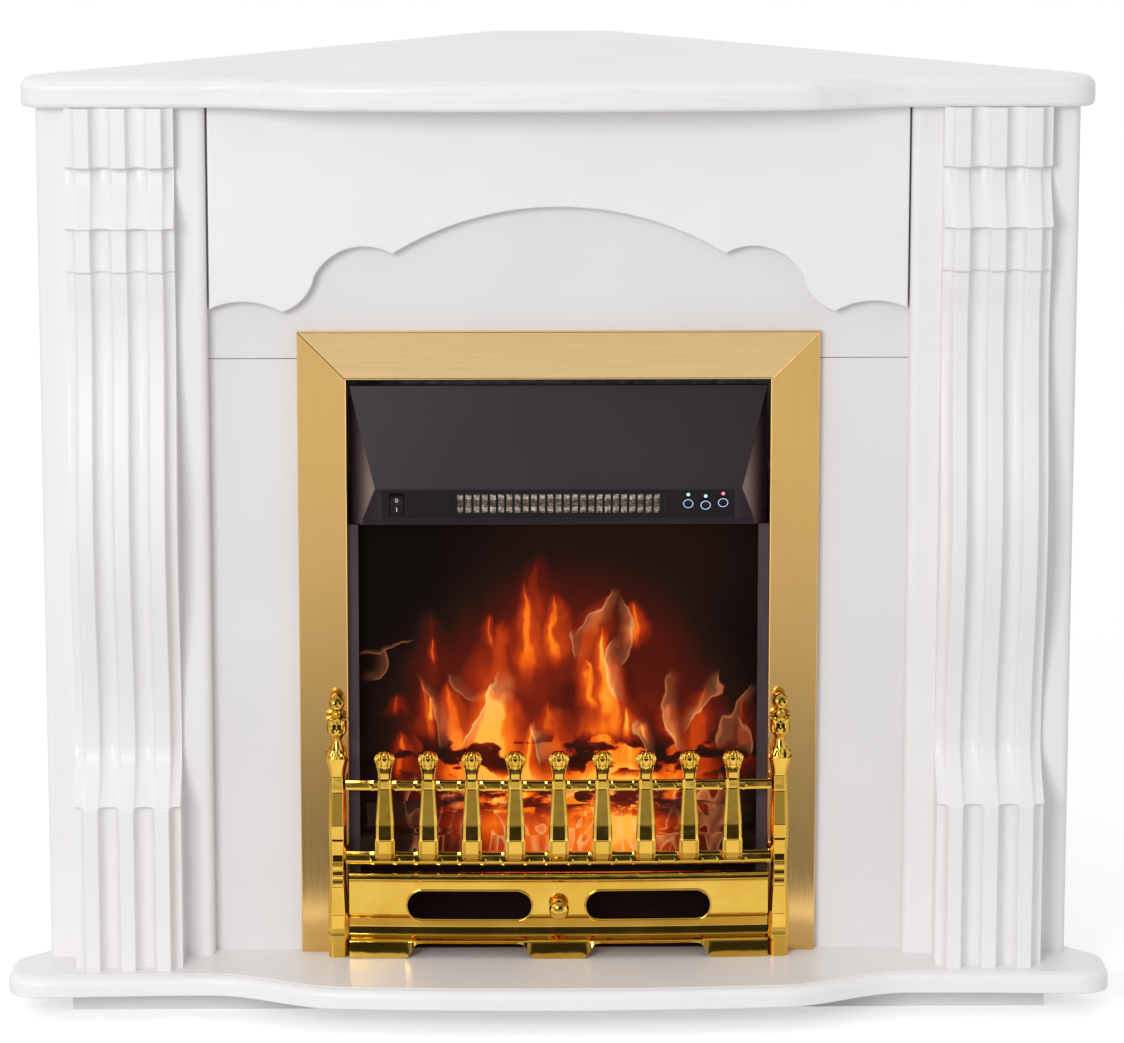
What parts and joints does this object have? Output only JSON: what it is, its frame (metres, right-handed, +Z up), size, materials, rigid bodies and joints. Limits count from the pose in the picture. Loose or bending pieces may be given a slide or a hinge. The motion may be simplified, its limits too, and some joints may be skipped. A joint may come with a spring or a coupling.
{
  "type": "corner fireplace",
  "caption": "Corner fireplace: white portal with fluted consoles, shaped frieze, bowed mantel and hearth, around a brass-trimmed electric fire with a cast brass fret.",
  "frame": {"origin": "on the floor, under the middle of the bounding box", "axes": "+X to the right as seen from the room, +Y towards the room corner, +Z up"},
  "size_m": [1.078, 0.598, 0.916],
  "materials": {
    "white_film": "white foil over fibreboard, fine ash grain on the top, silk gloss",
    "fibreboard": "raw fibreboard, matt",
    "satin_brass": "satin, lacquered",
    "polished_brass": "cast and mirror polished",
    "black_enamel": "black stoving enamel, semi-gloss",
    "black_plastic": "black, moulded",
    "galvanised": "zinc-plated sheet",
    "heater_metal": "plain",
    "flame_panel": null,
    "fuel_bed": "moulded logs and embers, charred and glowing",
    "circuit_board": "green laminate",
    "lens": "clear light guide"
  },
  "bodies": {
    "surround": {"mantel_shelf": "white_film", "hearth_plate": "white_film", "plinth_front": "white_film", "plinth_left": "white_film", "plinth_right": "white_film", "frieze_board": "white_film", "upper_panel": "white_film", "side_panel_left": "white_film", "side_panel_right": "white_film", "pilaster_board_left": "white_film", "pilaster_board_right": "white_film", "console_left": "white_film", "console_right": "white_film", "cheek_left": "fibreboard", "cheek_right": "fibreboard", "trim_left": "satin_brass", "trim_right": "satin_brass", "trim_top": "satin_brass", "case_side_left": "black_enamel", "case_side_right": "black_enamel", "case_top": "black_enamel", "case_floor": "black_enamel", "hood": "black_enamel", "case_back": "galvanised", "blower_duct": "galvanised", "blower_motor": "galvanised", "spindle_motor": "galvanised", "fascia_left": "black_plastic", "fascia_right": "black_plastic", "cord_gland": "black_plastic", "air_grille": "heater_metal", "heating_element": "heater_metal", "flame_screen": "flame_panel", "fuel_bed": "fuel_bed", "light_board": "circuit_board", "control_board": "circuit_board", "pilot_lights": "lens"},
    "rocker": {"rocker_switch": "black_plastic"},
    "button_1": {"push_button_1": "black_plastic"},
    "button_2": {"push_button_2": "black_plastic"},
    "button_3": {"push_button_3": "black_plastic"},
    "blower_rotor": {"blower_wheel": "black_plastic"},
    "spindle": {"flicker_spindle": "galvanised"},
    "fret": {"fret_rail_low": "polished_brass", "fret_rail_top": "polished_brass", "fret_bar_1": "polished_brass", "fret_bar_2": "polished_brass", "fret_bar_3": "polished_brass", "fret_bar_4": "polished_brass", "fret_bar_5": "polished_brass", "fret_bar_6": "polished_brass", "fret_bar_7": "polished_brass", "fret_bar_8": "polished_brass", "fret_bar_9": "polished_brass", "fret_post_left": "polished_brass", "fret_post_right": "polished_brass", "finial_left": "polished_brass", "finial_right": "polished_brass"},
    "ash_pan": {"ash_pan_cover": "polished_brass", "cover_knob": "polished_brass"}
  },
  "joints": [
    {"name": "rocker_tilt", "type": "hinge", "parent": "surround", "child": "rocker", "pos_m": [-0.158, -0.15771, 0.4977], "axis": [1, 0, 0], "range_deg": [-12, 0]},
    {"name": "button_1_press", "type": "slide", "parent": "surround", "child": "button_1", "axis": [0, 0.9398, 0.3417], "range_m": [0, 0.001], "stiffness_N_per_m": 300, "springref_m": -0.002},
    {"name": "button_2_press", "type": "slide", "parent": "surround", "child": "button_2", "axis": [0, 0.9398, 0.3417], "range_m": [0, 0.001], "stiffness_N_per_m": 300, "springref_m": -0.002},
    {"name": "button_3_press", "type": "slide", "parent": "surround", "child": "button_3", "axis": [0, 0.9398, 0.3417], "range_m": [0, 0.001], "stiffness_N_per_m": 300, "springref_m": -0.002},
    {"name": "blower_spin", "type": "hinge", "parent": "surround", "child": "blower_rotor", "pos_m": [0, -0.043, 0.4975], "axis": [1, 0, 0], "continuous": true},
    {"name": "spindle_spin", "type": "hinge", "parent": "surround", "child": "spindle", "pos_m": [0, -0.073, 0.165], "axis": [1, 0, 0], "continuous": true},
    {"name": "fret_pull", "type": "slide", "parent": "surround", "child": "fret", "axis": [0, -1, 0], "range_m": [0, 0.06]},
    {"name": "ash_pan_pull", "type": "slide", "parent": "fret", "child": "ash_pan", "axis": [0, -1, 0], "range_m": [0, 0.05]}
  ]
}
